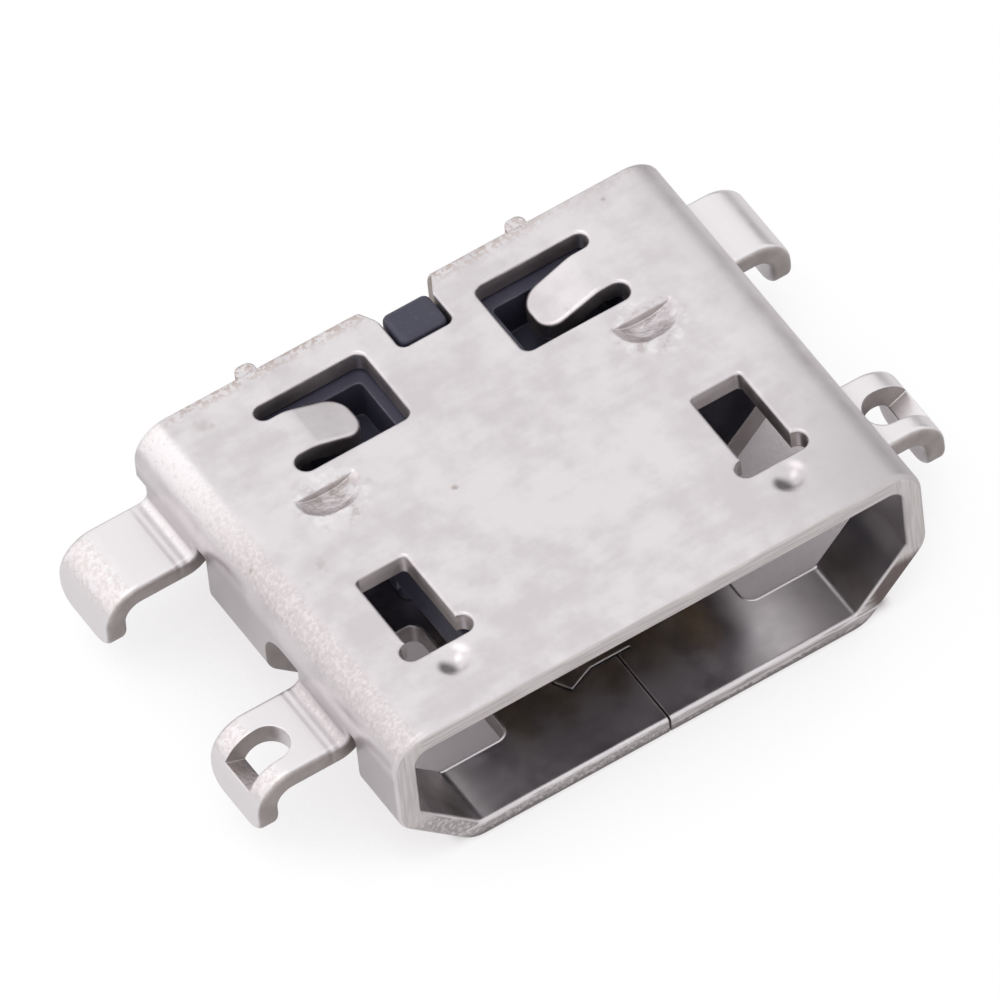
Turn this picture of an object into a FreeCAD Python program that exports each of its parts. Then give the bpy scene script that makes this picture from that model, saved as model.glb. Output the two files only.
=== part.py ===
import FreeCAD, Part
import math
import os

# Charging port for a small trapezoid plug, all sizes in millimetres.
# X runs along the mouth's width, Y runs from the mouth to the back, Z is up.
# Shapes are built with the mouth plane at y = 0 and the underside at z = 0.
# They are written out with the origin at the middle of the mouth opening.

# Sheet metal shell
sheet = 0.30
mouth_width = 6.90
mouth_height = 1.85
lower_corner = 0.95
top_bend_inside = 0.19
lower_bend_inside = 0.12
mouth_round_outside = 0.09
mouth_round_inside = 0.05
back_round = 0.06
window_round = 0.05
bottom_setback = 0.57
bottom_cut_height = 0.36

# Butt seam in the bottom, with a dovetail key on the right half
seam_gap = 0.03
key_root = 0.20
key_centre = 1.85
key_half_neck = 0.64
key_half_head = 0.79
key_reach = 0.84
key_tip_bevel = 0.22
key_tip_bevel_run = 0.13
key_neck_run = 0.36

# Latch windows in the top, one each side, each with a round ear at both sides of its front end
latch_side_margin = 1.02
latch_width = 0.70
latch_front = 1.05
latch_length = 1.42
latch_corner = 0.07
latch_ear_radius = 0.14

# Small round dimples in front of the middles of the latch windows
dimple_place = 0.77
dimple_radius = 0.30
dimple_depth = 0.11

# U-shaped windows with spring fingers, and the sheet left behind them, which sets the shell's depth
spring_inner = 0.80
spring_outer = 2.36
latch_to_spring = 1.74
spring_length = 1.20
spring_to_back = 0.51
spring_corner = 0.13
finger_front_gap = 0.29
finger_back_gap = 0.24
finger_tip_gap = 0.36
finger_root_margin = 0.24
finger_slope = 21.0
finger_bend = 0.20
finger_tip_flat = 0.13

# Half-sheared staking lances that hold the insulator: scooped, with an upright step at the back
lance_side_margin = 1.06
lance_to_spring = 0.31
lance_length = 0.42
lance_straight = 0.14
lance_depth = 0.14
lance_step = 0.06
lance_round = 0.05

# Notch at the back, which flares at its open end, and the two flaps beside it
notch_half = 0.375
notch_length = 0.78
notch_corner = 0.10
notch_flare = 0.30
flap_inner = 0.54
flap_outer = 1.88
flap_reach = 0.17
flap_bend_inside = 0.10
flap_tail_gap = 0.25

# Stubs left at the back edge where the blank was cut from its strip
left_stub = -2.07
right_stub = 1.78
stub_width = 0.27
stub_height = 0.25
stub_drop = 0.07
stub_corner = 0.10

# Solder legs, bent outwards from the side walls
leg_width = 1.14
front_leg_start = 1.15
back_leg_margin = 0.20
leg_top = 1.45
leg_root_bend = 0.12
left_leg_shelf = 0.66
right_leg_shelf = 0.36
leg_tip_bend = 0.22
leg_tip = 0.53
leg_tip_corner = 0.30
leg_edge_round = 0.08
leg_hole_start = 0.27
leg_hole_width = 0.54
leg_hole_turn = 65.0

# Openings that the legs leave in the walls, the corner flats and the bottom
blank_inner = 1.71
front_blank_ahead = 0.22
front_blank_behind = 0.73
back_blank_ahead = 0.28
blank_relief = 0.15
blank_corner = 0.15
blank_wall_corner = 0.45

# Insulator
fit_gap = 0.03
block_lance_gap = 0.05
block_back_gap = 0.03
block_back_bevel = 0.12
key_block_gap = 0.04
key_block_back_gap = 0.05
key_block_round = 0.08
tongue_half = 1.85
tongue_front = 1.05
tongue_top_gap = 0.43
tongue_thickness = 0.60
tongue_bevel = 0.10
tongue_root_length = 0.85
tongue_root_extra = 0.16
floor_pad_half = 1.65
floor_pad_length = 0.65
floor_pad_height = 0.35
floor_pad_corner = 0.15
pocket_margin = 0.14
pocket_back_margin = 0.18
pocket_side_margin = 0.03
pocket_depth = 0.60

# Contacts, along the underside of the tongue
contact_pitch = 0.65
contact_thickness = 0.15
contact_width = 0.38
contact_proud = 0.05
contact_front_gap = 0.12
contact_bend = 0.10
contact_step_place = 0.80
contact_step_skew = 0.05
tail_reach = 0.30
tail_round = 0.08
contact_names = ["contact_vbus", "contact_d_minus", "contact_d_plus", "contact_id", "contact_gnd"]

# Worked out from the sizes above. A 45 degree corner loses inset_loss times the inset of its outline.
width = mouth_width + 2 * sheet
height = mouth_height + 2 * sheet
half = width / 2
half_inside = mouth_width / 2
ceiling = height - sheet
mouth_centre = height / 2
top_bend = top_bend_inside + sheet
lower_bend = lower_bend_inside + sheet
inset_loss = 2 - math.sqrt(2)
corner_inside = lower_corner - sheet * inset_loss
block_lower_corner = corner_inside - fit_gap * inset_loss
latch_outer = half - latch_side_margin
latch_inner = latch_outer - latch_width
latch_back = latch_front + latch_length
dimple_offset = (latch_inner + latch_outer) / 2
spring_front = latch_back + latch_to_spring
spring_back = spring_front + spring_length
shell_depth = spring_back + spring_to_back
bottom_depth = shell_depth - bottom_setback
notch_front = shell_depth - notch_length
notch_flare_start = shell_depth - notch_flare
finger_front = spring_front + finger_front_gap
finger_back = spring_back - finger_back_gap
finger_root = spring_outer - finger_root_margin
finger_tip_round = (finger_back - finger_front - finger_tip_flat) / 2
lance_spread = lance_length - lance_step
lance_width = lance_straight + 2 * lance_spread
lance_back = spring_front - lance_to_spring
lance_offset = half - lance_side_margin - lance_width / 2
flap_face = shell_depth + flap_reach
block_front = lance_back + block_lance_gap
block_back = flap_face - sheet - block_back_gap
tongue_bottom = ceiling - tongue_top_gap - tongue_thickness
tongue_root_front = block_front - tongue_root_length
floor_pad_front = block_front - floor_pad_length
contact_step = block_front + contact_step_place
tail_end = flap_face + tail_reach
board_level = leg_top - sheet
flap_bottom = board_level + contact_thickness + flap_tail_gap
back_leg_start = shell_depth - back_leg_margin - leg_width
front_blank_start = front_leg_start - front_blank_ahead
front_blank_end = front_leg_start + leg_width + front_blank_behind
back_blank_start = back_leg_start - back_blank_ahead
leg_bends = leg_root_bend + leg_tip_bend + sheet
left_leg_span = half + left_leg_shelf + leg_bends
right_leg_span = half + right_leg_shelf + leg_bends
diagonal = math.sqrt(0.5)

# Cutting tools run this far beyond the metal, and joined shapes run this far into each other
beyond = 1.0
overlap = 0.10
tolerance = 1e-4
same_point = 1e-6


def point(x, y, z):
    return FreeCAD.Vector(x, y, z)


def rectangle(low_x, high_x, low_y, high_y):
    return [(low_x, low_y), (high_x, low_y), (high_x, high_y), (low_x, high_y)]


def rounded_wire(corners, radii):
    """Closed wire through the corners, each rounded by its own radius, or left sharp at 0."""
    count = len(corners)
    starts = []
    ends = []
    middles = []
    for i in range(count):
        here = corners[i]
        back = (corners[i - 1] - here).normalize()
        ahead = (corners[(i + 1) % count] - here).normalize()
        if radii[i] == 0:
            starts.append(here)
            ends.append(here)
            middles.append(None)
            continue
        half_angle = back.getAngle(ahead) / 2
        run = radii[i] / math.tan(half_angle)
        centre_line = (back + ahead).normalize()
        centre = here + centre_line * (radii[i] / math.sin(half_angle))
        starts.append(here + back * run)
        ends.append(here + ahead * run)
        middles.append(centre - centre_line * radii[i])
    edges = []
    for i in range(count):
        if middles[i] is not None:
            edges.append(Part.Arc(starts[i], middles[i], ends[i]).toShape())
        following = starts[(i + 1) % count]
        if ends[i].distanceToPoint(following) > same_point:
            edges.append(Part.LineSegment(ends[i], following).toShape())
    return Part.Wire(edges)


def prism(corners, radii, direction):
    return Part.Face(rounded_wire(corners, radii)).extrude(direction)


def plan_prism(outline, radii, low, high):
    """Upright prism over an outline of (x, y) corners."""
    return prism([point(x, y, low) for x, y in outline], radii, point(0, 0, high - low))


def side_prism(outline, radii, start, end):
    """Prism along X over an outline of (y, z) corners."""
    return prism([point(start, y, z) for y, z in outline], radii, point(end - start, 0, 0))


def front_prism(outline, radii, start, end):
    """Prism along Y over an outline of (x, z) corners."""
    return prism([point(x, start, z) for x, z in outline], radii, point(0, end - start, 0))


def mirrored(shape):
    return shape.mirror(point(0, 0, 0), point(1, 0, 0))


def both_sides(shape):
    return [shape, mirrored(shape)]


def in_plane_y(edge, y):
    box = edge.BoundBox
    return abs(box.YMin - y) < tolerance and abs(box.YMax - y) < tolerance


def within(edge, low_x, high_x, low_y, high_y, z):
    """True for an edge that lies at height z inside a rectangle, on either side of the middle."""
    box = edge.BoundBox
    level = abs(box.ZMin - z) < tolerance and abs(box.ZMax - z) < tolerance
    farthest = max(abs(box.XMin), abs(box.XMax))
    nearest = min(abs(box.XMin), abs(box.XMax))
    across = low_x - tolerance < nearest and farthest < high_x + tolerance
    along = low_y - tolerance < box.YMin and box.YMax < high_y + tolerance
    return level and across and along


def rounded_edges(shape, radius, chosen):
    edges = [edge for edge in shape.Edges if chosen(edge)]
    return shape.makeFillet(radius, edges)


def section(half_width, low, high, corner, upper_radius, lower_radius):
    """The mouth's section: square above, cut off at 45 degrees at both lower corners."""
    outline = [
        (-half_width, high),
        (half_width, high),
        (half_width, low + corner),
        (half_width - corner, low),
        (-half_width + corner, low),
        (-half_width, low + corner),
    ]
    return outline, [upper_radius] * 2 + [lower_radius] * 4


def folded_tube():
    """Sheet folded to the mouth's section, before anything is cut out of it."""
    outline, radii = section(half, 0, height, lower_corner, top_bend, lower_bend)
    body = front_prism(outline, radii, 0, shell_depth)
    body = rounded_edges(body, mouth_round_outside, lambda edge: in_plane_y(edge, 0))
    body = rounded_edges(body, back_round, lambda edge: in_plane_y(edge, shell_depth))
    bends = (top_bend_inside, lower_bend_inside)
    outline, radii = section(half_inside, sheet, ceiling, corner_inside, *bends)
    tube = body.cut(front_prism(outline, radii, -beyond, shell_depth + beyond))

    def inner_rim(edge):
        box = edge.BoundBox
        across = max(abs(box.XMin), abs(box.XMax)) < half_inside + tolerance
        upright = box.ZMin > sheet - tolerance and box.ZMax < ceiling + tolerance
        return in_plane_y(edge, 0) and across and upright

    return rounded_edges(tube, mouth_round_inside, inner_rim)


def key_outline(growth):
    """Dovetail key that reaches from the right half into the left half, larger all round by growth."""
    front_neck = key_centre - key_half_neck - growth
    front_head = key_centre - key_half_head - growth
    back_neck = 2 * key_centre - front_neck
    back_head = 2 * key_centre - front_head
    head = -key_reach - growth
    shoulder = head + key_tip_bevel_run
    return [
        (key_root, front_neck),
        (-key_neck_run, front_neck),
        (shoulder, front_head),
        (head, front_head + key_tip_bevel),
        (head, back_head - key_tip_bevel),
        (shoulder, back_head),
        (-key_neck_run, back_neck),
        (key_root, back_neck),
    ]


def seam():
    """Cutter for the gap between the sheet's two ends, round the key."""
    line = rectangle(-seam_gap / 2, seam_gap / 2, -beyond, shell_depth + beyond)
    slit = plan_prism(line, [0] * 4, -beyond, sheet + overlap)
    socket = plan_prism(key_outline(seam_gap), [0] * 8, -beyond, sheet + overlap)
    key = plan_prism(key_outline(0), [0] * 8, -2 * beyond, 2 * sheet)
    return slit.fuse(socket).cut(key)


def latch_window():
    """Window for a plug's latch: a slot with a round ear at each side of its front end."""
    ear = latch_ear_radius
    inner = latch_inner - ear
    outer = latch_outer + ear
    ear_back = latch_front + 2 * ear
    outline = [
        (inner, latch_front),
        (outer, latch_front),
        (outer, ear_back),
        (latch_outer, ear_back),
        (latch_outer, latch_back),
        (latch_inner, latch_back),
        (latch_inner, ear_back),
        (inner, ear_back),
    ]
    radii = [ear, ear, ear, 0, latch_corner, latch_corner, 0, ear]
    return plan_prism(outline, radii, ceiling - sheet, height + sheet)


def spring_window():
    """U-shaped window that leaves a spring finger's root standing: its outer ends are round slots."""
    outline = [
        (spring_inner, spring_front),
        (spring_outer, spring_front),
        (spring_outer, finger_front),
        (finger_root, finger_front),
        (finger_root, finger_back),
        (spring_outer, finger_back),
        (spring_outer, spring_back),
        (spring_inner, spring_back),
    ]
    front_slot = (finger_front - spring_front) / 2
    back_slot = (spring_back - finger_back) / 2
    radii = [spring_corner, front_slot, front_slot, 0, 0, back_slot, back_slot, spring_corner]
    return plan_prism(outline, radii, ceiling - sheet, height + sheet)


def finger():
    """Spring finger: flat at its root, bent down, straight to a round tip that points at the middle."""
    slope = math.radians(finger_slope)
    radius = finger_bend + sheet
    normal = point(-math.sin(slope), 0, math.cos(slope))
    half_normal = point(-math.sin(slope / 2), 0, math.cos(slope / 2))
    along = point(-math.cos(slope), 0, -math.sin(slope))
    start = point(spring_outer + sheet, 0, height)
    bend_start = point(finger_root, 0, height)
    centre = bend_start - point(0, 0, radius)
    bend_end = centre + normal * radius
    run = (bend_end.x - (spring_inner + finger_tip_gap)) / math.cos(slope)
    tip_top = bend_end + along * run
    tip_bottom = tip_top - normal * sheet
    low_end = centre + normal * finger_bend
    low_start = centre + point(0, 0, finger_bend)
    root_bottom = point(start.x, 0, ceiling)
    edges = [
        Part.LineSegment(start, bend_start).toShape(),
        Part.Arc(bend_start, centre + half_normal * radius, bend_end).toShape(),
        Part.LineSegment(bend_end, tip_top).toShape(),
        Part.LineSegment(tip_top, tip_bottom).toShape(),
        Part.LineSegment(tip_bottom, low_end).toShape(),
        Part.Arc(low_end, centre + half_normal * finger_bend, low_start).toShape(),
        Part.LineSegment(low_start, root_bottom).toShape(),
        Part.LineSegment(root_bottom, start).toShape(),
    ]
    strip = Part.Face(Part.Wire(edges)).extrude(point(0, finger_back - finger_front, 0))
    strip.translate(point(0, finger_front, 0))
    outline = rectangle(tip_bottom.x, start.x + overlap, finger_front, finger_back)
    plan = plan_prism(outline, [finger_tip_round, 0, 0, finger_tip_round], 0, height + beyond)
    strip = strip.common(plan)
    return rounded_edges(strip, window_round, lambda edge: edge.BoundBox.XMax < finger_root + tolerance)


def scoop(depth, deepest, bowl):
    """Long bowl, round in section, that reaches down to deepest and is cut off at the back step."""
    middle = lance_back - lance_step
    half_run = lance_straight / 2
    centre = deepest + bowl
    trough = Part.makeCylinder(bowl, 2 * half_run, point(-half_run, middle, centre), point(1, 0, 0))
    ends = [Part.makeSphere(bowl, point(x, middle, centre)) for x in (-half_run, half_run)]
    trough = trough.fuse(ends)
    trough.translate(point(lance_offset, 0, 0))
    left = lance_offset - lance_width / 2
    keep = rectangle(left, left + lance_width, lance_back - lance_length, lance_back)
    return trough.common(plan_prism(keep, [0] * 4, deepest - overlap, deepest + depth))


def lance():
    """Scoop pushed down at its back edge: the hollow above and the swelling below."""
    bowl = (lance_spread ** 2 + lance_depth ** 2) / (2 * lance_depth)
    hollow = scoop(lance_depth + overlap, height - lance_depth, bowl)
    swelling = scoop(lance_depth + overlap / 2, ceiling - lance_depth, bowl)
    return hollow, swelling


def dimple():
    """Round dimple with a soft rim, two equal arcs in section: the pit above and the swelling below."""
    slope = 2 * math.atan(dimple_depth / dimple_radius)
    radius = dimple_radius / (2 * math.sin(slope))
    half_slope = slope / 2
    low_centre = point(0, 0, radius)
    high_centre = point(dimple_radius, 0, dimple_depth - radius)
    low_mid = low_centre + point(math.sin(half_slope), 0, -math.cos(half_slope)) * radius
    high_mid = high_centre + point(-math.sin(half_slope), 0, math.cos(half_slope)) * radius
    bottom = point(0, 0, 0)
    turn = point(dimple_radius / 2, 0, dimple_depth / 2)
    rim = point(dimple_radius, 0, dimple_depth)
    rim_above = rim + point(0, 0, overlap)
    middle_above = point(0, 0, dimple_depth + overlap)
    edges = [
        Part.Arc(bottom, low_mid, turn).toShape(),
        Part.Arc(turn, high_mid, rim).toShape(),
        Part.LineSegment(rim, rim_above).toShape(),
        Part.LineSegment(rim_above, middle_above).toShape(),
        Part.LineSegment(middle_above, bottom).toShape(),
    ]
    pit = Part.Face(Part.Wire(edges)).revolve(bottom, point(0, 0, 1), 360)
    swelling = pit.copy()
    pit.translate(point(dimple_offset, dimple_place, height - dimple_depth))
    swelling.translate(point(dimple_offset, dimple_place, ceiling - dimple_depth))
    return pit, swelling


def leg_strip(start, span):
    """Bent strip on the right: the wall, a hollow root bend, a flat shelf and a curved tip."""
    root = leg_top + leg_root_bend
    top_in = half + leg_root_bend
    tip_bend = leg_tip_bend + sheet
    tip_start = span - tip_bend
    tip_level = leg_top - tip_bend
    root_centre = point(top_in, 0, root)
    tip_centre = point(tip_start, 0, tip_level)
    inwards = point(-diagonal, 0, -diagonal)
    upper = root + blank_relief + sheet
    corners = {
        "wall_top": point(half, 0, upper),
        "root_top": point(half, 0, root),
        "root_mid": root_centre + inwards * leg_root_bend,
        "root_out": point(top_in, 0, leg_top),
        "tip_in": point(tip_start, 0, leg_top),
        "tip_mid": tip_centre - inwards * tip_bend,
        "tip_out": point(span, 0, tip_level),
        "end_out": point(span, 0, leg_tip),
        "end_in": point(span - sheet, 0, leg_tip),
        "low_tip_out": point(span - sheet, 0, tip_level),
        "low_tip_mid": tip_centre - inwards * leg_tip_bend,
        "low_tip_in": point(tip_start, 0, board_level),
        "low_root_out": point(top_in, 0, board_level),
        "low_root_mid": root_centre + inwards * (leg_root_bend + sheet),
        "low_root_in": point(half_inside, 0, root),
        "wall_in": point(half_inside, 0, upper),
    }

    def line(a, b):
        return Part.LineSegment(corners[a], corners[b]).toShape()

    def arc(a, b, c):
        return Part.Arc(corners[a], corners[b], corners[c]).toShape()

    edges = [
        line("wall_top", "root_top"),
        arc("root_top", "root_mid", "root_out"),
        line("root_out", "tip_in"),
        arc("tip_in", "tip_mid", "tip_out"),
        line("tip_out", "end_out"),
        line("end_out", "end_in"),
        line("end_in", "low_tip_out"),
        arc("low_tip_out", "low_tip_mid", "low_tip_in"),
        line("low_tip_in", "low_root_out"),
        arc("low_root_out", "low_root_mid", "low_root_in"),
        line("low_root_in", "wall_in"),
        line("wall_in", "wall_top"),
    ]
    strip = Part.Face(Part.Wire(edges)).extrude(point(0, leg_width, 0))
    strip.translate(point(0, start, 0))
    outline = rectangle(start, start + leg_width, leg_tip, upper + beyond)
    radii = [leg_tip_corner, leg_tip_corner, 0, 0]
    strip = strip.common(side_prism(outline, radii, half_inside - overlap, span + beyond))
    return rounded_edges(strip, leg_edge_round, lambda edge: edge.BoundBox.XMin > half_inside + tolerance)


def leg_hole(start, span):
    """Hole with a round nose on the leg's shelf, and on round the tip bend by a set turn."""
    front = start + leg_hole_start
    back = front + leg_hole_width
    nose = leg_hole_width / 2
    reach = leg_tip_bend + sheet
    tip_start = span - reach
    level = leg_top - reach
    outline = rectangle(tip_start - nose, tip_start + overlap, front, back)
    shelf = plan_prism(outline, [nose, 0, 0, nose], level, leg_top + beyond)
    corner = point(tip_start, front, level)
    turn = Part.makeCylinder(reach + beyond, leg_hole_width, corner, point(0, 1, 0), leg_hole_turn)
    return shelf.fuse(turn)


def legs(span):
    """The two legs of one side, as if on the right, reaching out to span."""
    front = leg_strip(front_leg_start, span).cut(leg_hole(front_leg_start, span))
    return [front, leg_strip(back_leg_start, span)]


def blank_opening(start, end, back_corner):
    """Opening that a leg leaves, with round inner corners in plan and a round upper back corner."""
    far = half + beyond
    inner_back = blank_corner if back_corner else 0
    plan = rectangle(blank_inner, far, start, end)
    plan = plan_prism(plan, [blank_corner, 0, 0, inner_back], -beyond, height)
    top = leg_top + leg_root_bend + blank_relief
    side = rectangle(start, end, -beyond, top)
    return plan.common(side_prism(side, [0, 0, back_corner, blank_corner / 2], 0, far))


def notch():
    end = flap_face + beyond
    outline = [
        (-notch_half, notch_front),
        (notch_half, notch_front),
        (notch_half, notch_flare_start),
        (flap_inner, shell_depth),
        (flap_inner, end),
        (-flap_inner, end),
        (-flap_inner, shell_depth),
        (-notch_half, notch_flare_start),
    ]
    return plan_prism(outline, [notch_corner, notch_corner] + [0] * 6, ceiling - sheet, height + beyond)


def flap():
    """Flap bent down from the top's back edge."""
    outer = flap_bend_inside + sheet
    face_in = flap_face - sheet
    bend = flap_face - outer
    level = height - outer
    centre = point(0, bend, level)
    outwards = point(0, diagonal, diagonal)
    start = point(0, bend - overlap, height)
    top = point(0, bend, height)
    face = point(0, flap_face, level)
    end = point(0, flap_face, flap_bottom)
    end_in = point(0, face_in, flap_bottom)
    level_in = point(0, face_in, level)
    low = point(0, bend, ceiling)
    start_in = point(0, bend - overlap, ceiling)
    edges = [
        Part.LineSegment(start, top).toShape(),
        Part.Arc(top, centre + outwards * outer, face).toShape(),
        Part.LineSegment(face, end).toShape(),
        Part.LineSegment(end, end_in).toShape(),
        Part.LineSegment(end_in, level_in).toShape(),
        Part.Arc(level_in, centre + outwards * flap_bend_inside, low).toShape(),
        Part.LineSegment(low, start_in).toShape(),
        Part.LineSegment(start_in, start).toShape(),
    ]
    strip = Part.Face(Part.Wire(edges)).extrude(point(flap_outer - flap_inner, 0, 0))
    strip.translate(point(flap_inner, 0, 0))
    return rounded_edges(strip, window_round, lambda edge: edge.BoundBox.YMax > bend + tolerance)


def stub(middle):
    """Small remnant of the strip, at the top's back edge."""
    plan = rectangle(middle - stub_width / 2, middle + stub_width / 2, shell_depth - overlap, flap_face)
    top = height - stub_drop
    return plan_prism(plan, [0, 0, stub_corner, stub_corner], top - stub_height, top)


def at_window(edge):
    """True for the upper edges of the latch windows, the spring windows and the notch."""
    latch_low = latch_inner - latch_ear_radius
    latch_high = latch_outer + latch_ear_radius
    latch = within(edge, latch_low, latch_high, latch_front, latch_back, height)
    spring = within(edge, spring_inner, spring_outer, spring_front, spring_back, height)
    at_notch = within(edge, 0, notch_half, notch_front, notch_flare_start, height)
    return latch or spring or at_notch


def at_lance(edge):
    """True for the rim of each lance's hollow."""
    left = lance_offset - lance_width / 2
    right = lance_offset + lance_width / 2
    return within(edge, left, right, lance_back - lance_length, lance_back, height)


def build_shell():
    shell = folded_tube()
    hollow, swelling = lance()
    pit, under_pit = dimple()
    shell = shell.fuse(both_sides(swelling) + both_sides(under_pit))
    shell = shell.cut(both_sides(latch_window()) + both_sides(spring_window()) + [notch()])
    shell = rounded_edges(shell, window_round, at_window)
    shell = shell.cut(both_sides(hollow) + both_sides(pit))
    shell = rounded_edges(shell, lance_round, at_lance)
    behind = rectangle(-half - beyond, half + beyond, bottom_depth, shell_depth + beyond)
    cutters = [seam(), plan_prism(behind, [0] * 4, -beyond, bottom_cut_height)]
    cutters += both_sides(blank_opening(front_blank_start, front_blank_end, blank_wall_corner))
    cutters += both_sides(blank_opening(back_blank_start, shell_depth + beyond, 0))
    shell = shell.cut(cutters)
    additions = both_sides(finger()) + both_sides(flap()) + [stub(left_stub), stub(right_stub)]
    additions += [mirrored(leg) for leg in legs(left_leg_span)]
    additions += legs(right_leg_span)
    return shell.fuse(additions).removeSplitter()


def build_contacts():
    """Strips along the tongue's underside, a small step inside the block, then out at the back."""
    low = tongue_bottom - contact_proud
    high = low + contact_thickness
    rise = board_level - low
    skew = math.copysign(contact_step_skew, rise)
    step_end = contact_step + abs(rise)
    start = tongue_front + contact_front_gap
    outline = [
        (start, low),
        (contact_step, low),
        (step_end + skew, board_level),
        (tail_end, board_level),
        (tail_end, board_level + contact_thickness),
        (step_end, board_level + contact_thickness),
        (contact_step - skew, high),
        (start, high),
    ]
    bend = contact_bend
    radii = [0, bend, bend, 0, tail_round, bend, bend, tail_round]
    middle_index = (len(contact_names) - 1) / 2
    contacts = {}
    for index, name in enumerate(contact_names):
        left = (index - middle_index) * contact_pitch - contact_width / 2
        contacts[name] = side_prism(outline, radii, left, left + contact_width)
    return contacts


def insulator_block():
    """Block that fills the shell behind the plug's space, with a raised key in the notch."""
    low = sheet + fit_gap
    high = ceiling - fit_gap
    bends = (top_bend_inside - fit_gap, lower_bend_inside - fit_gap)
    outline, radii = section(half_inside - fit_gap, low, high, block_lower_corner, *bends)
    block = front_prism(outline, radii, block_front, block_back)
    block = rounded_edges(block, block_back_bevel, lambda edge: in_plane_y(edge, block_back))
    key_half = notch_half - key_block_gap
    key_front = notch_front + key_block_gap
    key_plan = rectangle(-key_half, key_half, key_front, block_back - key_block_back_gap)
    key = plan_prism(key_plan, [notch_corner] * 4, high - overlap, height)
    key = rounded_edges(key, key_block_round, lambda edge: abs(edge.BoundBox.ZMin - height) < tolerance)
    return block.fuse(key)


def insulator_tongue():
    """Tongue, its thicker root and the pad on the floor under it."""
    back = block_front + overlap
    plan = rectangle(-tongue_half, tongue_half, tongue_front, back)
    tongue = plan_prism(plan, [0] * 4, tongue_bottom, tongue_bottom + tongue_thickness)
    front_edges = [edge for edge in tongue.Edges if in_plane_y(edge, tongue_front)]
    tongue = tongue.makeChamfer(tongue_bevel, front_edges)
    root_low = tongue_bottom - tongue_root_extra
    root_high = tongue_bottom + tongue_thickness + tongue_root_extra
    root_plan = rectangle(-tongue_half, tongue_half, tongue_root_front, back)
    root = plan_prism(root_plan, [0] * 4, root_low, root_high)
    low = sheet + fit_gap
    pad_plan = rectangle(-floor_pad_half, floor_pad_half, floor_pad_front, back)
    pad = plan_prism(pad_plan, [floor_pad_corner, floor_pad_corner, 0, 0], low, low + floor_pad_height)
    return tongue.fuse([root, pad])


def finger_pocket():
    """Pocket in the block's top, where a spring finger bends down."""
    plan = rectangle(
        spring_inner + pocket_margin,
        spring_outer - pocket_side_margin,
        spring_front + pocket_margin,
        spring_back - pocket_back_margin,
    )
    return plan_prism(plan, [pocket_margin / 2] * 4, ceiling - fit_gap - pocket_depth, height)


def build_insulator(contacts):
    body = insulator_block().fuse(insulator_tongue())
    body = body.cut(both_sides(finger_pocket()) + contacts)
    return body.removeSplitter()


def write(shape, name):
    placed = shape.copy()
    placed.translate(point(0, 0, -mouth_centre))
    placed.exportStep("parts/" + name + ".step")
    print(name, "solids:", len(placed.Solids), "valid:", placed.isValid())


os.makedirs("parts", exist_ok=True)
contact_solids = build_contacts()
write(build_shell(), "shell")
write(build_insulator(list(contact_solids.values())), "insulator")
for contact_name, contact_solid in contact_solids.items():
    write(contact_solid, contact_name)
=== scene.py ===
import math
from types import SimpleNamespace

import bpy
from mathutils import Matrix, Vector


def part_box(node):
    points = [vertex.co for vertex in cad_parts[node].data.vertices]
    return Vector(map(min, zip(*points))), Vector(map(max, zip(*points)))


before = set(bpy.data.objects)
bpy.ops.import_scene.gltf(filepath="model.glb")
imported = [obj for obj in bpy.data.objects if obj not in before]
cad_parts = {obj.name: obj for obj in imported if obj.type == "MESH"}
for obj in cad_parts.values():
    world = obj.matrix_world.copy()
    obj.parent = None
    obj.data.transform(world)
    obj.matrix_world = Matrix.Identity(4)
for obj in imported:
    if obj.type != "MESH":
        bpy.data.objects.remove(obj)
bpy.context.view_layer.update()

MM = 0.001
PER_MM = (1000, 1000, 1000)
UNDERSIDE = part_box("shell")[0].z

# The photograph's view, fitted on the edges of the shell: angles in degrees, lengths in millimetres
VIEW_ELEVATION = 51.833
VIEW_AZIMUTH = 27.167
VIEW_ROLL = -6.659
VIEW_DISTANCE = 400.0
VIEW_FOCAL = 1203.05
VIEW_SENSOR = 36.0
VIEW_CENTRE = (0.0, 2.5, 1.175)
VIEW_OFFSET_RIGHT = -0.5464
VIEW_OFFSET_DOWN = 0.2746
# Nearest and furthest depth that the camera draws, in metres
VIEW_NEAREST = 0.01
VIEW_FURTHEST = 10

# Linear colours
WHITE = (1, 1, 1)
NICKEL = (0.655, 0.617, 0.635)
NICKEL_PALE = (0.765, 0.730, 0.745)
# Painted shade on the nickel
NICKEL_PAINTED_SHADE = (0.53, 0.50, 0.51)
# Painted highlight on the nickel
NICKEL_PAINTED_HIGHLIGHT = (0.86, 0.83, 0.84)
# Painted light along the left bend: shaded at its front, lit at its back
BEND_FRONT_PAINTED_SHADE = (0.64, 0.595, 0.60)
BEND_BACK_PAINTED_LIGHT = (0.93, 0.90, 0.905)
CUT_DARK = (0.30, 0.265, 0.255)
CUT_PALE = (0.62, 0.58, 0.575)
LEG_SPECK = (0.72, 0.655, 0.645)
BAND_DARK = (0.25, 0.23, 0.23)
BAND_BRIGHT = (0.70, 0.66, 0.655)
BAND_CORNER_DARK = (0.17, 0.135, 0.13)
SCUFF = (0.52, 0.43, 0.39)
# Stains, and painted shade in the left bend's crackle and in the lance hollows
STAIN_AND_PAINTED_SHADE = (0.36, 0.29, 0.26)
SHADOW = (0.10, 0.09, 0.09)
PLASTIC = (0.060, 0.059, 0.094)
PLASTIC_PALE = (0.20, 0.20, 0.24)
GOLD = (0.83, 0.66, 0.32)
GOLD_DARK = (0.74, 0.56, 0.27)
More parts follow.
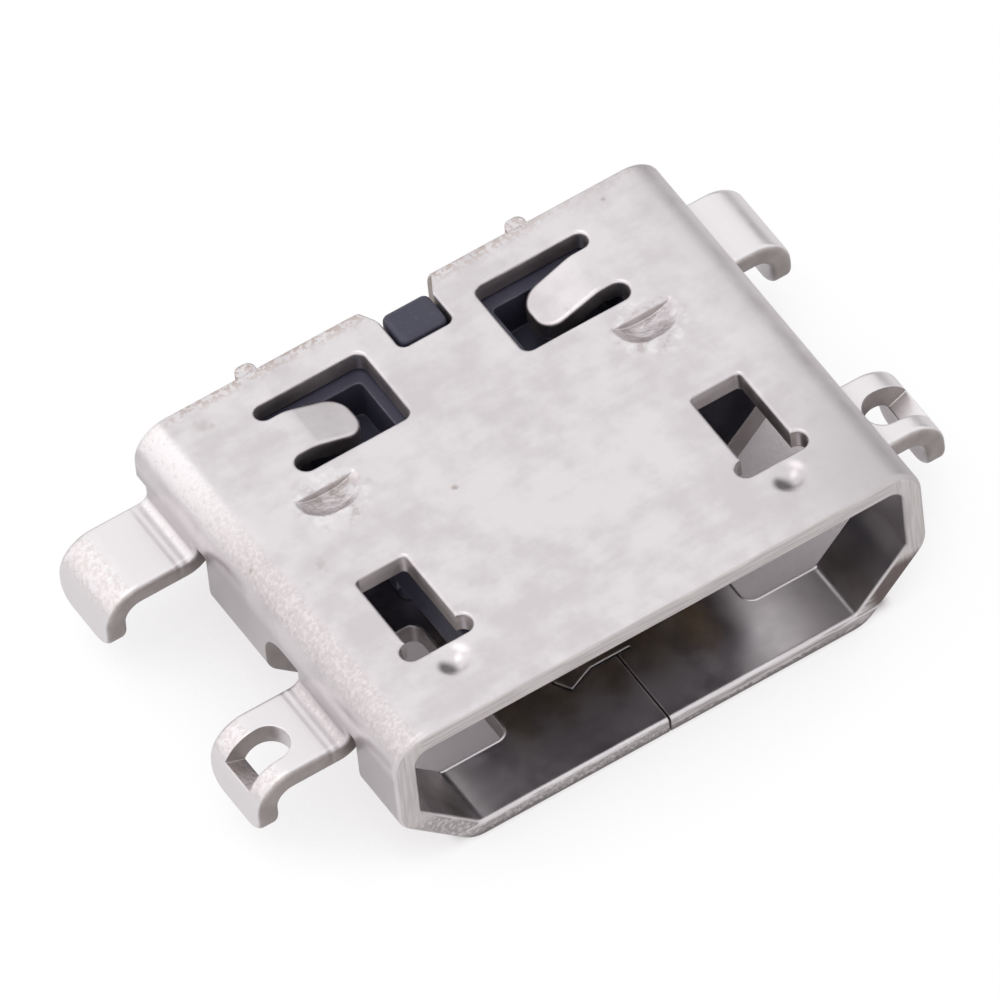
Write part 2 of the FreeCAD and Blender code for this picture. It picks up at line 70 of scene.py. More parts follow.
# Painted shadow on the floor, under the part and beside it
FLOOR_UNDER = (0.200, 0.178, 0.190)
FLOOR_UNDER_OPEN = (0.78, 0.73, 0.75)
FLOOR_BESIDE = (0.82, 0.80, 0.81)
FLOOR_FAINT = (0.12, 0.12, 0.12)
FLOOR_MATT = (0.80, 0.79, 0.79)
FLOOR_MIRRORED = (0.72, 0.71, 0.715)
CARD = (1.0, 0.98, 0.985)
ROOM = (1.0, 0.985, 0.99)

# Radiances, where 1 is white
ROOM_RADIANCE = 0.45
FLAG_RADIANCE = 0.42
FLOOR_RADIANCE = 0.93
FLOOR_MIRRORED_RADIANCE = 0.30

# Lamps and the cards that reflections show in their stead: name, place and size in metres, radiance of each
PANELS = [
    ("left", (-0.22, 0.16, 0.12), (0.24, 0.22), 1.1, 1.14),
    ("top", (-0.10, 0.02, 0.27), (0.20, 0.20), 1.3, 1.7),
    ("front", (-0.05, -0.24, 0.12), (0.16, 0.10), 1.1, 1.6),
]
PANEL_AIM = (0, 0.003, 0)
FLAG_PLACE = (0.26, 0.20, 0.064)
FLAG_AIM = (0, 0, 0.064)
FLAG_SIZE = (0.36, 0.13)

# The floor: its size in metres, the gap under the part and the reach of its shelter in millimetres
FLOOR_SIZE = (1.2, 1.2)
FLOOR_GAP = 0.01
SHELTER_REACH = 5.0
SHELTER_SAMPLES = 6
# Where the painted shadow under the part is dark: spans in millimetres over which it sets in or ends
UNDER_LEFT = (-3.05, -2.75)
UNDER_RIGHT = (3.10, 3.30)
UNDER_FRONT = (0.05, 0.25)
UNDER_BACK = (5.2, 5.4)
UNDER_WALL_LEFT = (3.0, 3.2)
UNDER_WALL_RIGHT = (4.0, 4.4)
UNDER_WALL_FRONT = (0.9, 1.5)
# Openness over which the painted shadow lightens
OPENNESS_BESIDE = (0.30, 0.66)
OPENNESS_UNDER = (0.34, 0.62)

# Regions of the shell: spans in millimetres over which they set in or end, across (from the middle plane)
BEND_START = (3.2, 3.4)
LINES_TURN = (3.30, 3.45)
CUT_END = (3.3, 3.45)
WALL_START = (3.60, 3.70)
LEG_START = (3.80, 4.10)
# The same from left to right
SCUFF_LEFT = (-3.5, -3.1)
LEFT_SIDE = (-3.2, -3.1)
LEFT_LEGS = (-1.0, 0.0)
BAND_CHANGE = (-0.4, 0.4)
STRIP_FADE = (1.2, 2.4)
CORNER_ACROSS = (1.4, 3.4)
BAND_CORNER_START = (2.75, 3.0)
RIGHT_FADE_START = (2.85, 3.45)
RIGHT_SIDE = (3.1, 3.2)
RIGHT_FADE_END = (3.50, 3.65)
# The same from the mouth to the back
BAND_END = (0.12, 0.20)
CORNER_ALONG = (0.3, 2.6)
LATCH_BACK_START = (2.20, 2.40)
LATCH_BACK_END = (2.60, 2.80)
BURR_END = (2.9, 3.0)
BEND_BRIGHTENING = (3.2, 5.4)
STRIP_START = (5.66, 5.90)
# The same upwards
BAND_FOOT = (-1.13, -1.07)
BAND_FOOT_WANDER = 0.03
INNER_LINE_START = (-1.01, -0.96)
INNER_LINE_END = (-0.94, -0.91)
INSIDE_TOP = (-0.85, -0.75)
LOW_BAND = (-0.45, -0.25)
WALL_TOP = (0.55, 0.72)
STRIP_BASE = (0.80, 1.00)
UPPER = (0.85, 0.95)
CUT_RISE = (1.02, 1.20)

# Share of a face's normal along an axis, over which a face counts
TILTED_ACROSS = (0.10, 0.32)
TILTED_UP = (0.30, 0.60)
FACING = (0.70, 0.95)
FACING_UP = (0.80, 0.95)
FACING_WALL = (0.92, 0.99)
FACING_LEG_SIDE = (0.35, 0.80)

# Places on the shell, in millimetres
LANCE = (2.26, 3.69)
LANCE_RADII = (0.36, 0.60)
DIMPLES = [(-2.50, 0.74), (2.26, 0.74)]
DIMPLE_RADII = (0.05, 0.17)
LEG_GROOVE = 3.97
LEG_GROOVE_HALF = 0.06
# The openings that the front legs leave in the bottom, and the burr round them
OPENING_INNER = 1.71
OPENING_FRONT = 0.93
OPENING_BACK = 3.02
OPENING_CORNER = 0.15
BURR_WIDTH = 0.04

# Small dark marks on the shell, in millimetres: (x, y, z, radius, strength)
MARKS = [
    (-0.99, 2.96, 1.22, 0.06, 0.7),
    (-3.60, 3.44, 1.08, 0.07, 0.7),
    (-2.94, 2.89, 1.22, 0.12, 0.3),
    (-2.95, 5.55, 1.22, 0.14, 0.3),
    (2.83, 5.65, 1.22, 0.05, 0.6),
    (1.66, 4.60, 1.00, 0.10, 0.5),
    (1.88, 4.56, 1.08, 0.08, 0.5),
]
# In radii of a mark: how far its outline wanders, where it starts to fade and where it ends
MARK_WANDER = 3
MARK_FADE = 1.6
MARK_END = 2.6

# Noises of the nickel: scale per millimetre, detail, roughness and, for some, the stretch of their place
NICKEL_NOISES = {
    "wave": (0.7, 2.0, 0.5),
    "mottle": (2.6, 4.0, 0.6),
    "streak": (1.0, 3.0, 0.55, (1.3, 6.5, 6.5)),
    "grain": (24.0, 2.0, 0.6),
    "peel": (18.0, 3.0, 0.6),
    "crumb": (15.0, 2.0, 0.6),
    "flat_lines": (1.0, 2.0, 0.5, (1.5, 8.0, 26.0)),
    "upright_lines": (1.0, 2.0, 0.5, (26.0, 8.0, 1.5)),
    "crackle": (5.0, 3.0, 0.6),
    "blots": (1.9, 5.0, 0.72),
}
# Noises of the moulding and of the gold, in the same way
MOULD_CLOUD = (2.2, 3.0, 0.6)
MOULD_GRAIN = (26.0, 3.0, 0.65)
MOULD_FIBRE = (1.0, 2.0, 0.5, (4.0, 16.0, 16.0))
GOLD_LINES = (1.0, 3.0, 0.6, (20.0, 1.5, 20.0))
GOLD_CLOUD = (3.0, 2.0, 0.5)

# The spans of a noise that a look takes up: nearly all of it, then single looks
MOST = (0.3, 0.7)
TONE = (0.38, 0.60)
LEG_SPECKS = (0.44, 0.58)
PALE_SPECKS = (0.50, 0.60)
DARK_SPECKS = (0.36, 0.44)
LANCE_BRIGHT = (0.50, 0.64)
LANCE_DARK = (0.34, 0.46)
BAND_SPECKS = (0.42, 0.66)
BAND_DRAWN = (0.42, 0.60)
BAND_LINES = (0.36, 0.64)
INNER_LINES = (0.34, 0.50)
SCUFF_CRUMBS = (0.44, 0.58)
BLOTS = (0.69, 0.76)
MOULD_SPECKS = (0.60, 0.74)
MOULD_CLOUDS = (0.35, 0.65)
MOULD_FIBRES = (0.62, 0.80)
# Agreement of a rounded and a plain normal, over which an edge counts as rubbed
EDGE_AGREEMENT = (0.80, 0.98)

# Shares of three noises in the tone of the flats
WAVE_SHARE = 0.40
MOTTLE_SHARE = 0.45
STREAK_SHARE = 0.15

# Relief, in metres
STREAK_RELIEF = 0.0005 * MM
MOTTLE_RELIEF = 0.0030 * MM
MOTTLE_RELIEF_INSIDE = 0.0008 * MM
GRAIN_RELIEF = 0.0005 * MM
LEFT_BEND_RELIEF = 0.010 * MM
RIGHT_BEND_RELIEF = 0.002 * MM
LEG_BEND_RELIEF = 0.008 * MM
BAND_RELIEF = 0.004 * MM
STRIP_RELIEF = 0.012 * MM
BURR_RELIEF = 0.03 * MM
LANCE_RELIEF = 0.022 * MM
GROOVE_RELIEF = 0.005 * MM
MOULD_RELIEF = 0.004 * MM
GOLD_RELIEF = 0.001 * MM
# Rounding of the edges, in metres
NICKEL_EDGE = 0.035 * MM
NICKEL_EDGE_SAMPLES = 6
MOULD_EDGE = 0.05 * MM
MOULD_EDGE_SAMPLES = 8

# Roughness: from and to, as a noise rises, and what bends and sheared edges add
NICKEL_ROUGH = (0.29, 0.38)
MOULD_ROUGH = (0.38, 0.52)
GOLD_ROUGH = (0.22, 0.34)
BEND_ROUGHER = 0.12
CUT_ROUGHER = 0.14
# How far a burr still looks like metal
BURR_METAL = 0.5


def view_axes():
    """Unit vectors of the picture's right, its down and the line of sight."""
    elevation = math.radians(VIEW_ELEVATION)
    azimuth = math.radians(VIEW_AZIMUTH)
    roll = math.radians(VIEW_ROLL)
    flat = Vector((math.sin(azimuth), math.cos(azimuth), 0))
    ahead = flat * math.cos(elevation) - Vector((0, 0, math.sin(elevation)))
    level_right = Vector((math.cos(azimuth), -math.sin(azimuth), 0))
    level_down = -flat * math.sin(elevation) - Vector((0, 0, math.cos(elevation)))
    right = level_right * math.cos(roll) - level_down * math.sin(roll)
    down = level_right * math.sin(roll) + level_down * math.cos(roll)
    return right, down, ahead


def add_camera():
    right, down, ahead = view_axes()
    target = Vector(VIEW_CENTRE) + right * VIEW_OFFSET_RIGHT + down * VIEW_OFFSET_DOWN
    place = (target - ahead * VIEW_DISTANCE) * MM
    data = bpy.data.cameras.new("camera")
    data.sensor_width = VIEW_SENSOR
    data.lens = VIEW_FOCAL
    data.clip_start = VIEW_NEAREST
    data.clip_end = VIEW_FURTHEST
    camera = bpy.data.objects.new("camera", data)
    axes = Matrix((right, -down, -ahead)).transposed()
    camera.matrix_world = Matrix.Translation(place) @ axes.to_4x4()
    bpy.context.scene.collection.objects.link(camera)
    bpy.context.scene.camera = camera


class Graph:
    """Adds and joins the nodes of one node tree."""

    def __init__(self, tree):
        self.tree = tree
        self.tree.nodes.clear()

    def set(self, socket, value):
        if isinstance(value, bpy.types.NodeSocket):
            self.tree.links.new(value, socket)
        elif isinstance(value, tuple) and len(value) == 3 and socket.type == "RGBA":
            socket.default_value = (*value, 1)
        else:
            socket.default_value = value

    def node(self, kind, *values, **named):
        """A node with its inputs set in order, then by name."""
        node = self.tree.nodes.new("ShaderNode" + kind)
        for socket, value in zip(node.inputs, values):
            self.set(socket, value)
        for name, value in named.items():
            self.set(node.inputs[name.replace("_", " ")], value)
        return node

    def math(self, operation, first, second=0.0, clamp=False):
        node = self.node("Math", first, second)
        node.operation = operation
        node.use_clamp = clamp
        return node.outputs[0]

    def product(self, first, *others):
        for other in others:
            first = self.math("MULTIPLY", first, other)
        return first

    def sum(self, first, *others):
        for other in others:
            first = self.math("ADD", first, other)
        return first

    def vector(self, operation, first, second, output="Vector"):
        node = self.node("VectorMath", first, second)
        node.operation = operation
        return node.outputs[output]

    def parts(self, vector):
        """The three numbers of a vector."""
        return self.node("SeparateXYZ", vector).outputs

    def place(self):
        """Place on the object, in millimetres."""
        return self.vector("MULTIPLY", self.node("TexCoord").outputs["Object"], PER_MM)

    def flat_distance(self, across, along, centre=(0.0, 0.0)):
        """How far the point of two numbers lies from a centre."""
        point = self.node("CombineXYZ", across, along, 0.0).outputs[0]
        return self.vector("DISTANCE", point, (*centre, 0.0), "Value")

    def ramp(self, value, span, start=0.0, end=1.0):
        """Goes smoothly from start to end while value goes through span."""
        node = self.node("MapRange", value, *span, start, end)
        node.interpolation_type = "SMOOTHSTEP"
        return node.outputs[0]

    def fall(self, value, span):
        """Goes smoothly from 1 to 0 while value goes through span."""
        return self.ramp(value, span, start=1.0, end=0.0)

    def between(self, share, first, second):
        """Number that goes from first to second while share goes from 0 to 1."""
        return self.node("MapRange", share, 0.0, 1.0, first, second).outputs[0]

    def blend(self, share, first, second):
        """Colour that goes from first to second while share goes from 0 to 1."""
        return self.node("MixRGB", share, first, second).outputs[0]

    def paint(self, colour, over, *shares, strength=1.0):
        """The colour with another over it, as far as the shares and the strength let it."""
        return self.blend(self.product(*shares, strength), colour, over)

    def noise(self, place, scale, detail, roughness, stretch=None):
        if stretch:
            place = self.vector("MULTIPLY", place, stretch)
        node = self.node("TexNoise", Vector=place, Scale=scale, Detail=detail, Roughness=roughness)
        return node.outputs["Fac"]

    def bevel(self, radius, samples):
        """Normal that runs smoothly round an edge."""
        node = self.node("Bevel", radius)
        node.samples = samples
        return node.outputs["Normal"]

    def bump(self, height, normal=None):
        """Normal of a relief whose heights are in metres."""
        node = self.node("Bump", Strength=1.0, Distance=1.0, Height=height)
        if normal is not None:
            self.set(node.inputs["Normal"], normal)
        return node.outputs["Normal"]

    def shader(self, kind, *values, **named):
        return self.node(kind, *values, **named).outputs[0]

    def seen(self):
        """1 for the rays that show the background: to the camera, in metal and through glass."""
        rays = self.node("LightPath").outputs
        either = self.math("MAXIMUM", rays["Is Camera Ray"], rays["Is Glossy Ray"])
        return self.math("MAXIMUM", either, rays["Is Transmission Ray"])


def new_material(name):
    """A material and the graph of its nodes."""
    material = bpy.data.materials.new(name)
    material.use_nodes = True
    return material, Graph(material.node_tree)


def facing(place, aim):
    return (Vector(aim) - Vector(place)).to_track_quat("-Z", "Y").to_euler()


def add_area_light(name, place, aim, size, radiance):
    """Rectangular lamp. Its energy follows from radiance and size, and metal mirrors a card instead."""
    data = bpy.data.lights.new(name, "AREA")
    data.shape = "RECTANGLE"
    data.size, data.size_y = size
    data.energy = radiance * math.pi * size[0] * size[1]
    lamp = bpy.data.objects.new(name, data)
    lamp.location = place
    lamp.rotation_euler = facing(place, aim)
    lamp.visible_glossy = False
    bpy.context.scene.collection.objects.link(lamp)


def add_rectangle(name, place, size, material):
    across, along = size[0] / 2, size[1] / 2
    corners = [(-across, -along, 0), (across, -along, 0), (across, along, 0), (-across, along, 0)]
    mesh = bpy.data.meshes.new(name)
    mesh.from_pydata(corners, [], [(0, 1, 2, 3)])
    mesh.materials.append(material)
    rectangle = bpy.data.objects.new(name, mesh)
    rectangle.location = place
    bpy.context.scene.collection.objects.link(rectangle)
    return rectangle


def add_card(name, place, aim, size, radiance):
    """Rectangular card beside the object, seen only in its reflections."""
    material, graph = new_material(name)
    graph.node("OutputMaterial", graph.shader("Emission", CARD, radiance))
    card = add_rectangle(name, place, size, material)
    card.rotation_euler = facing(place, aim)
    card.visible_camera = False
    card.visible_diffuse = False
    card.visible_shadow = False


def add_world():
    """White where it is seen, and a dimmer room where it only lights."""
    world = bpy.data.worlds.new("studio")
    bpy.context.scene.world = world
    world.use_nodes = True
    graph = Graph(world.node_tree)
    room = graph.shader("Background", ROOM, ROOM_RADIANCE)
    white = graph.shader("Background", WHITE, 1.0)
    graph.node("OutputWorld", graph.shader("MixShader", graph.seen(), room, white))


def add_lights():
    for name, place, size, lamp_radiance, card_radiance in PANELS:
        add_area_light(name + "_panel", place, PANEL_AIM, size, lamp_radiance)
        add_card(name + "_card", place, PANEL_AIM, size, card_radiance)
    add_card("right_flag", FLAG_PLACE, FLAG_AIM, FLAG_SIZE, FLAG_RADIANCE)
    add_world()


def floor_colour(graph):
    """White in the open, with a painted shadow that is greyer near the object and dark under it."""
    x, y, z = graph.parts(graph.place())
    body = graph.product(graph.ramp(x, UNDER_LEFT), graph.fall(x, UNDER_RIGHT), graph.ramp(y, UNDER_FRONT))
    wall = graph.product(graph.ramp(x, UNDER_WALL_LEFT), graph.fall(x, UNDER_WALL_RIGHT))
    wall = graph.product(wall, graph.ramp(y, UNDER_WALL_FRONT))
    under = graph.product(graph.math("ADD", body, wall, clamp=True), graph.fall(y, UNDER_BACK))
    shelter = graph.node("AmbientOcclusion", Distance=SHELTER_REACH * MM)
    shelter.samples = SHELTER_SAMPLES
    openness = shelter.outputs["AO"]
    beside = graph.blend(graph.ramp(openness, OPENNESS_BESIDE), FLOOR_BESIDE, WHITE)
    sheltered = graph.blend(graph.ramp(openness, OPENNESS_UNDER), FLOOR_UNDER, FLOOR_UNDER_OPEN)
    return graph.blend(under, beside, sheltered)


def floor_material():
    """Glows in its colour to the camera, less so in reflections, and is plain matt in all other light."""
    material, graph = new_material("floor")
    colour = floor_colour(graph)
    glow = graph.shader("Emission", colour, FLOOR_RADIANCE)
    shown = graph.shader("AddShader", glow, graph.shader("BsdfDiffuse", FLOOR_FAINT))
    mirrored_glow = graph.shader("Emission", colour, FLOOR_MIRRORED_RADIANCE)
    mirrored = graph.shader("AddShader", mirrored_glow, graph.shader("BsdfDiffuse", FLOOR_MIRRORED))
    matt = graph.shader("BsdfDiffuse", FLOOR_MATT)
    lit = graph.shader("MixShader", graph.seen(), matt, mirrored)
    to_camera = graph.node("LightPath").outputs["Is Camera Ray"]
    graph.node("OutputMaterial", graph.shader("MixShader", to_camera, lit, shown))
    return material


def add_floor():
    floor = add_rectangle("floor", (0, 0, UNDERSIDE - FLOOR_GAP * MM), FLOOR_SIZE, floor_material())


def shell_coordinates(graph):
    """Place in millimetres, distance from the middle plane and the normal's share along each axis."""
    place = graph.place()
    x, y, z = graph.parts(place)
    normal = graph.node("NewGeometry").outputs["Normal"]
    nx, ny, nz = [graph.math("ABSOLUTE", part) for part in graph.parts(normal)]
    side = graph.math("ABSOLUTE", x)
    return SimpleNamespace(place=place, x=x, y=y, z=z, nx=nx, ny=ny, nz=nz, side=side)


def nickel_patterns(graph, at):
    """The noises, and the lines of the sheared edges, which stand upright on the walls."""
    noises = {name: graph.noise(at.place, *noise) for name, noise in NICKEL_NOISES.items()}
    pattern = SimpleNamespace(**noises)
    on_wall = graph.ramp(at.side, LINES_TURN)
    pattern.lines = graph.between(on_wall, pattern.flat_lines, pattern.upright_lines)
    return pattern


def opening_rim(graph, at):
    """1 along the rims of the openings in the bottom, which have round corners."""
    from_inner = graph.math("SUBTRACT", OPENING_INNER + OPENING_CORNER, at.side)
    middle = (OPENING_FRONT + OPENING_BACK) / 2
    half_straight = (OPENING_BACK - OPENING_FRONT) / 2 - OPENING_CORNER
    from_middle = graph.math("ABSOLUTE", graph.math("SUBTRACT", at.y, middle))
    from_ends = graph.math("SUBTRACT", from_middle, half_straight)
    past = [graph.math("MAXIMUM", distance, 0.0) for distance in (from_inner, from_ends)]
    return graph.fall(graph.flat_distance(*past), (OPENING_CORNER, OPENING_CORNER + BURR_WIDTH))


def shell_areas(graph, at):
    """The regions of the shell, each from 0 outside to 1 inside."""
    tilted = graph.product(graph.ramp(at.nx, TILTED_ACROSS), graph.ramp(at.nz, TILTED_UP))
    bend = graph.product(tilted, graph.ramp(at.side, BEND_START), graph.fall(at.side, LEG_START))
    leg = graph.ramp(at.side, LEG_START)
    faces_front = graph.ramp(at.ny, FACING)
    faces_side = graph.product(graph.ramp(at.nx, FACING), graph.fall(at.side, CUT_END))
    strip = graph.product(graph.ramp(at.y, STRIP_START), graph.ramp(at.z, STRIP_BASE))
    inside = graph.product(graph.fall(at.z, INSIDE_TOP), graph.ramp(at.nz, FACING_UP))
    return SimpleNamespace(
        bend=bend,
        left_bend=graph.product(bend, graph.fall(at.x, LEFT_SIDE)),
        right_bend=graph.product(bend, graph.ramp(at.x, RIGHT_SIDE)),
        leg=leg,
        leg_bend=graph.product(tilted, leg, graph.fall(at.x, LEFT_LEGS)),
        leg_side=graph.product(leg, graph.ramp(at.ny, FACING_LEG_SIDE)),
        upper=graph.ramp(at.z, UPPER),
        cut=graph.math("MAXIMUM", faces_front, faces_side),
        band=graph.product(faces_front, graph.fall(at.y, BAND_END)),
        low_band=graph.fall(at.z, LOW_BAND),
        back_strip=graph.product(strip, graph.ramp(at.x, STRIP_FADE, start=1.0, end=0.35)),
        lance=graph.fall(graph.flat_distance(at.side, at.y, LANCE), LANCE_RADII),
        inside=inside,
        burr=graph.product(inside, opening_rim(graph, at), graph.fall(at.y, BURR_END)),
    )


def flat_colour(graph, at, area, pattern):
    """Blotchy flats, with painted shade at the right front corner and low on the walls, and a painted
    highlight on the legs.
    """
    tone = graph.sum(
        graph.product(pattern.wave, WAVE_SHARE),
        graph.product(pattern.mottle, MOTTLE_SHARE),
        graph.product(pattern.streak, STREAK_SHARE),
    )
    colour = graph.blend(graph.ramp(tone, TONE), NICKEL, NICKEL_PALE)
    # Painted shade at the right front corner
    corner = graph.product(graph.ramp(at.x, CORNER_ACROSS), graph.fall(at.y, CORNER_ALONG))
    colour = graph.paint(colour, NICKEL_PAINTED_SHADE, corner, strength=0.8)
    # Painted shade low on the side walls
    wall = graph.product(graph.ramp(at.nx, FACING_WALL), graph.ramp(at.side, WALL_START))
    colour = graph.paint(colour, NICKEL_PAINTED_SHADE, wall, graph.fall(at.z, WALL_TOP), strength=0.6)
    # Painted highlight on the legs
    return graph.paint(colour, NICKEL_PAINTED_HIGHLIGHT, area.leg, strength=0.90)


def paint_bends(graph, colour, at, area, pattern):
    """Painted light on the bends: the left one brightens to the back and is speckled with painted glints
    and with dark specks of stain and painted shade, the right one gets painted shade.
    """
    bend_painted_light = graph.blend(graph.ramp(at.y, BEND_BRIGHTENING), BEND_FRONT_PAINTED_SHADE, BEND_BACK_PAINTED_LIGHT)
    colour = graph.paint(colour, bend_painted_light, area.left_bend, strength=0.8)
    # Painted shade on the right bend
    fade_end = graph.ramp(at.x, RIGHT_FADE_END, start=1.0, end=0.4)
    fade = graph.product(graph.ramp(at.x, RIGHT_FADE_START), fade_end, area.upper)
    fade = graph.product(fade, graph.fall(at.side, LEG_START))
    colour = graph.paint(colour, NICKEL_PAINTED_SHADE, fade, strength=0.35)
    leg_specks = graph.ramp(pattern.peel, LEG_SPECKS)
    colour = graph.paint(colour, LEG_SPECK, area.leg_bend, leg_specks, strength=0.7)
    # Painted glints on the left bend
    painted_glints = graph.ramp(pattern.peel, PALE_SPECKS)
    colour = graph.paint(colour, NICKEL_PAINTED_HIGHLIGHT, area.left_bend, painted_glints, strength=0.40)
    # Dark specks on the left bend, partly painted shade
    dark_specks = graph.fall(pattern.peel, DARK_SPECKS)
    return graph.paint(colour, STAIN_AND_PAINTED_SHADE, area.left_bend, dark_specks, strength=0.13)


def paint_leg_sides(graph, colour, area, pattern):
    """The cut sides of the legs are dark."""
    patchy = graph.ramp(pattern.mottle, MOST, start=0.95, end=0.60)
    return graph.paint(colour, CUT_DARK, area.leg_side, patchy)


def paint_lances(graph, colour, area, pattern):
    """The hollows of the lances look crumpled, with painted highlights and painted shade over their
    crackle.
    """
    bright = graph.ramp(pattern.crackle, LANCE_BRIGHT)
    colour = graph.paint(colour, NICKEL_PAINTED_HIGHLIGHT, area.lance, bright, strength=0.7)
    dark = graph.fall(pattern.crackle, LANCE_DARK)
    return graph.paint(colour, STAIN_AND_PAINTED_SHADE, area.lance, dark, strength=0.35)


def paint_cuts(graph, colour, at, area, pattern):
    """Sheared edges in a darker torn colour, with painted light making them paler towards the top face and
    behind the latch windows.
    """
    # Painted light: paler towards the top face and behind the latch windows, darker low down
    pale = graph.between(area.upper, 0.25, graph.ramp(at.z, CUT_RISE, start=0.10, end=0.75))
    latch_back_painted_light = graph.product(graph.ramp(at.y, LATCH_BACK_START), graph.fall(at.y, LATCH_BACK_END))
    pale = graph.sum(pale, graph.product(latch_back_painted_light, area.upper, 0.45))
    pale = graph.math("ADD", pale, graph.ramp(pattern.mottle, MOST, start=-0.1, end=0.2), clamp=True)
    return graph.paint(colour, graph.blend(pale, CUT_DARK, CUT_PALE), area.cut, strength=0.95)


def paint_band(graph, colour, at, area, pattern):
    """The mouth's front edge: speckled on the left, drawn on the right, dark brown at its right corner."""
    wander = graph.ramp(pattern.crumb, MOST, start=-BAND_FOOT_WANDER, end=BAND_FOOT_WANDER)
    foot = graph.ramp(graph.sum(at.z, wander), BAND_FOOT, start=0.10, end=1.0)
    specks = graph.ramp(pattern.peel, BAND_SPECKS, start=0.40, end=1.0)
    drawn = graph.ramp(pattern.lines, BAND_DRAWN, start=0.45, end=1.1)
    low = graph.product(foot, graph.between(graph.ramp(at.x, BAND_CHANGE), specks, drawn))
    high = graph.ramp(pattern.lines, BAND_LINES, start=0.75, end=1.0)
    band = graph.blend(graph.between(area.low_band, high, low), BAND_DARK, BAND_BRIGHT)
    band = graph.paint(band, BAND_CORNER_DARK, area.low_band, graph.ramp(at.x, BAND_CORNER_START), strength=0.95)
    return graph.paint(colour, band, area.band)


def paint_highlight_line_and_burrs(graph, colour, at, area, pattern):
    """A painted highlight as a broken line along the mouth's inner edge, and pale rims round the openings.
    """
    # Painted highlight along the mouth's inner edge
    line = graph.product(area.band, graph.ramp(at.z, INNER_LINE_START), graph.fall(at.z, INNER_LINE_END))
    broken = graph.ramp(pattern.lines, INNER_LINES)
    colour = graph.paint(colour, NICKEL_PAINTED_HIGHLIGHT, line, broken, strength=0.9)
    return graph.paint(colour, NICKEL_PALE, area.burr)


def paint_marks_and_dimple_shade(graph, colour, at, area, pattern):
    """Scuffs at the back edge, painted shade on the dark sides of the dimples, and stains."""
    crumbs = graph.ramp(pattern.crumb, SCUFF_CRUMBS)
    past_corner = graph.ramp(at.x, SCUFF_LEFT, start=0.10, end=0.85)
    colour = graph.paint(colour, SCUFF, area.back_strip, crumbs, past_corner)
    # Painted shade on the dark sides of the dimples
    to_dimples = [graph.flat_distance(at.x, at.y, dimple) for dimple in DIMPLES]
    dark = graph.ramp(graph.math("MINIMUM", *to_dimples), DIMPLE_RADII, start=0.8, end=0.0)
    colour = graph.paint(colour, SHADOW, dark, area.upper)
    marks = graph.ramp(pattern.blots, BLOTS, start=0.0, end=0.4)
    for mark_x, mark_y, mark_z, radius, strength in MARKS:
        away = graph.vector("DISTANCE", at.place, (mark_x, mark_y, mark_z), "Value")
        away = graph.sum(away, graph.product(pattern.crackle, MARK_WANDER * radius))
        mark = graph.ramp(away, (MARK_FADE * radius, MARK_END * radius), start=strength, end=0.0)
        marks = graph.math("MAXIMUM", marks, mark)
    return graph.paint(colour, STAIN_AND_PAINTED_SHADE, marks)


def nickel_relief(graph, at, area, pattern):
    """Height of the fine relief, in metres."""
    from_groove = graph.math("ABSOLUTE", graph.math("SUBTRACT", at.side, LEG_GROOVE))
    groove = graph.ramp(from_groove, (0.0, LEG_GROOVE_HALF))
    mottle_height = graph.between(area.inside, MOTTLE_RELIEF, MOTTLE_RELIEF_INSIDE)
    return graph.sum(
        graph.product(pattern.streak, STREAK_RELIEF),
        graph.product(pattern.mottle, mottle_height),
        graph.product(pattern.grain, GRAIN_RELIEF),
        graph.product(pattern.peel, area.left_bend, LEFT_BEND_RELIEF),
        graph.product(pattern.peel, area.right_bend, RIGHT_BEND_RELIEF),
        graph.product(pattern.peel, area.leg_bend, LEG_BEND_RELIEF),
        graph.product(pattern.lines, area.band, BAND_RELIEF),
        graph.product(pattern.crumb, area.back_strip, STRIP_RELIEF),
        graph.product(area.burr, BURR_RELIEF),
        graph.product(pattern.crackle, area.lance, LANCE_RELIEF),
        graph.product(groove, GROOVE_RELIEF),
    )


def nickel():
    """Nickel plate on stamped sheet: blotchy flats, crackled bends and sheared edges."""
    material, graph = new_material("nickel")
    at = shell_coordinates(graph)
    pattern = nickel_patterns(graph, at)
    area = shell_areas(graph, at)
    colour = flat_colour(graph, at, area, pattern)
    colour = paint_bends(graph, colour, at, area, pattern)
    colour = paint_leg_sides(graph, colour, area, pattern)
    colour = paint_lances(graph, colour, area, pattern)
    colour = paint_cuts(graph, colour, at, area, pattern)
    colour = paint_band(graph, colour, at, area, pattern)
    colour = paint_highlight_line_and_burrs(graph, colour, at, area, pattern)
    colour = paint_marks_and_dimple_shade(graph, colour, at, area, pattern)
    rough = graph.ramp(pattern.mottle, MOST, *NICKEL_ROUGH)
    rough = graph.sum(rough, graph.product(area.bend, BEND_ROUGHER), graph.product(area.cut, CUT_ROUGHER))
    metal = graph.between(area.burr, 1.0, BURR_METAL)
    edge = graph.bevel(NICKEL_EDGE, NICKEL_EDGE_SAMPLES)
    surface = graph.bump(nickel_relief(graph, at, area, pattern), edge)
    look = {"Base_Color": colour, "Metallic": metal, "Roughness": rough, "Normal": surface}
    graph.node("OutputMaterial", graph.shader("BsdfPrincipled", **look))
    return material


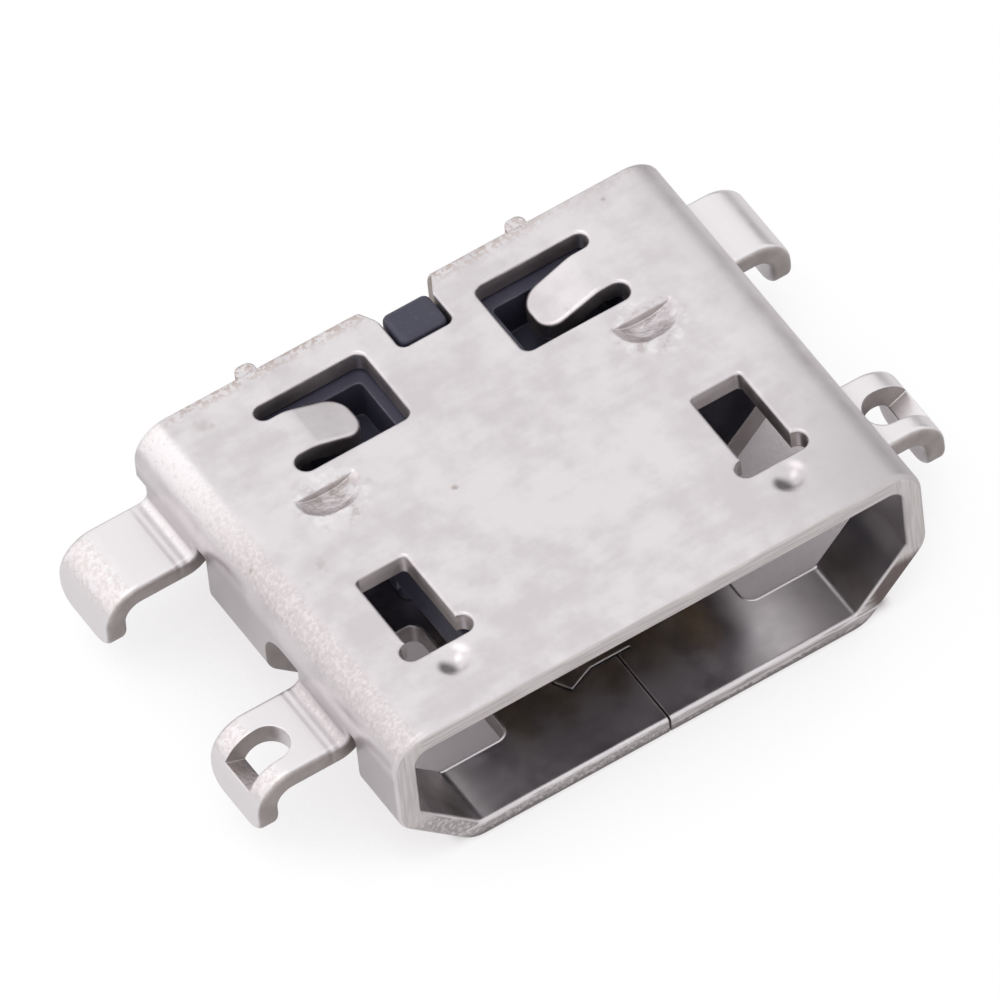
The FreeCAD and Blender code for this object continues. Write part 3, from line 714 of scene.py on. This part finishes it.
def black_plastic():
    """Glass-filled moulding: near black, fine grain, paler where its edges are rubbed."""
    material, graph = new_material("black_plastic")
    place = graph.place()
    cloud = graph.noise(place, *MOULD_CLOUD)
    grain = graph.noise(place, *MOULD_GRAIN)
    fibre = graph.noise(place, *MOULD_FIBRE)
    edge = graph.bevel(MOULD_EDGE, MOULD_EDGE_SAMPLES)
    plain = graph.node("NewGeometry").outputs["Normal"]
    rubbed = graph.fall(graph.vector("DOT_PRODUCT", edge, plain, "Value"), EDGE_AGREEMENT)
    pale = graph.product(rubbed, graph.ramp(cloud, MOULD_CLOUDS, start=0.25, end=0.85))
    pale = graph.math("MAXIMUM", pale, graph.product(graph.ramp(grain, MOULD_SPECKS), 0.35))
    pale = graph.math("MAXIMUM", pale, graph.product(graph.ramp(fibre, MOULD_FIBRES), 0.30))
    colour = graph.blend(pale, PLASTIC, PLASTIC_PALE)
    rough = graph.ramp(cloud, MOST, *MOULD_ROUGH)
    surface = graph.bump(graph.product(grain, MOULD_RELIEF), edge)
    look = {"Base_Color": colour, "Roughness": rough, "Normal": surface}
    graph.node("OutputMaterial", graph.shader("BsdfPrincipled", **look))
    return material


def gold_plate():
    """Thin gold on spring bronze, with the strip's rolling lines along it."""
    material, graph = new_material("gold_plate")
    place = graph.place()
    lines = graph.noise(place, *GOLD_LINES)
    cloud = graph.noise(place, *GOLD_CLOUD)
    colour = graph.blend(graph.ramp(cloud, MOST), GOLD, GOLD_DARK)
    rough = graph.ramp(lines, MOST, *GOLD_ROUGH)
    surface = graph.bump(graph.product(lines, GOLD_RELIEF))
    look = {"Base_Color": colour, "Metallic": 1.0, "Roughness": rough, "Normal": surface}
    graph.node("OutputMaterial", graph.shader("BsdfPrincipled", **look))
    return material


def dress(node, material):
    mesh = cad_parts[node].data
    mesh.materials.clear()
    mesh.materials.append(material)


bpy.context.scene.view_settings.view_transform = "Standard"
add_camera()
add_lights()
add_floor()
shell_material = nickel()
plastic_material = black_plastic()
contact_material = gold_plate()
dress("shell", shell_material)
dress("insulator", plastic_material)
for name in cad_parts:
    if name.startswith("contact"):
        dress(name, contact_material)
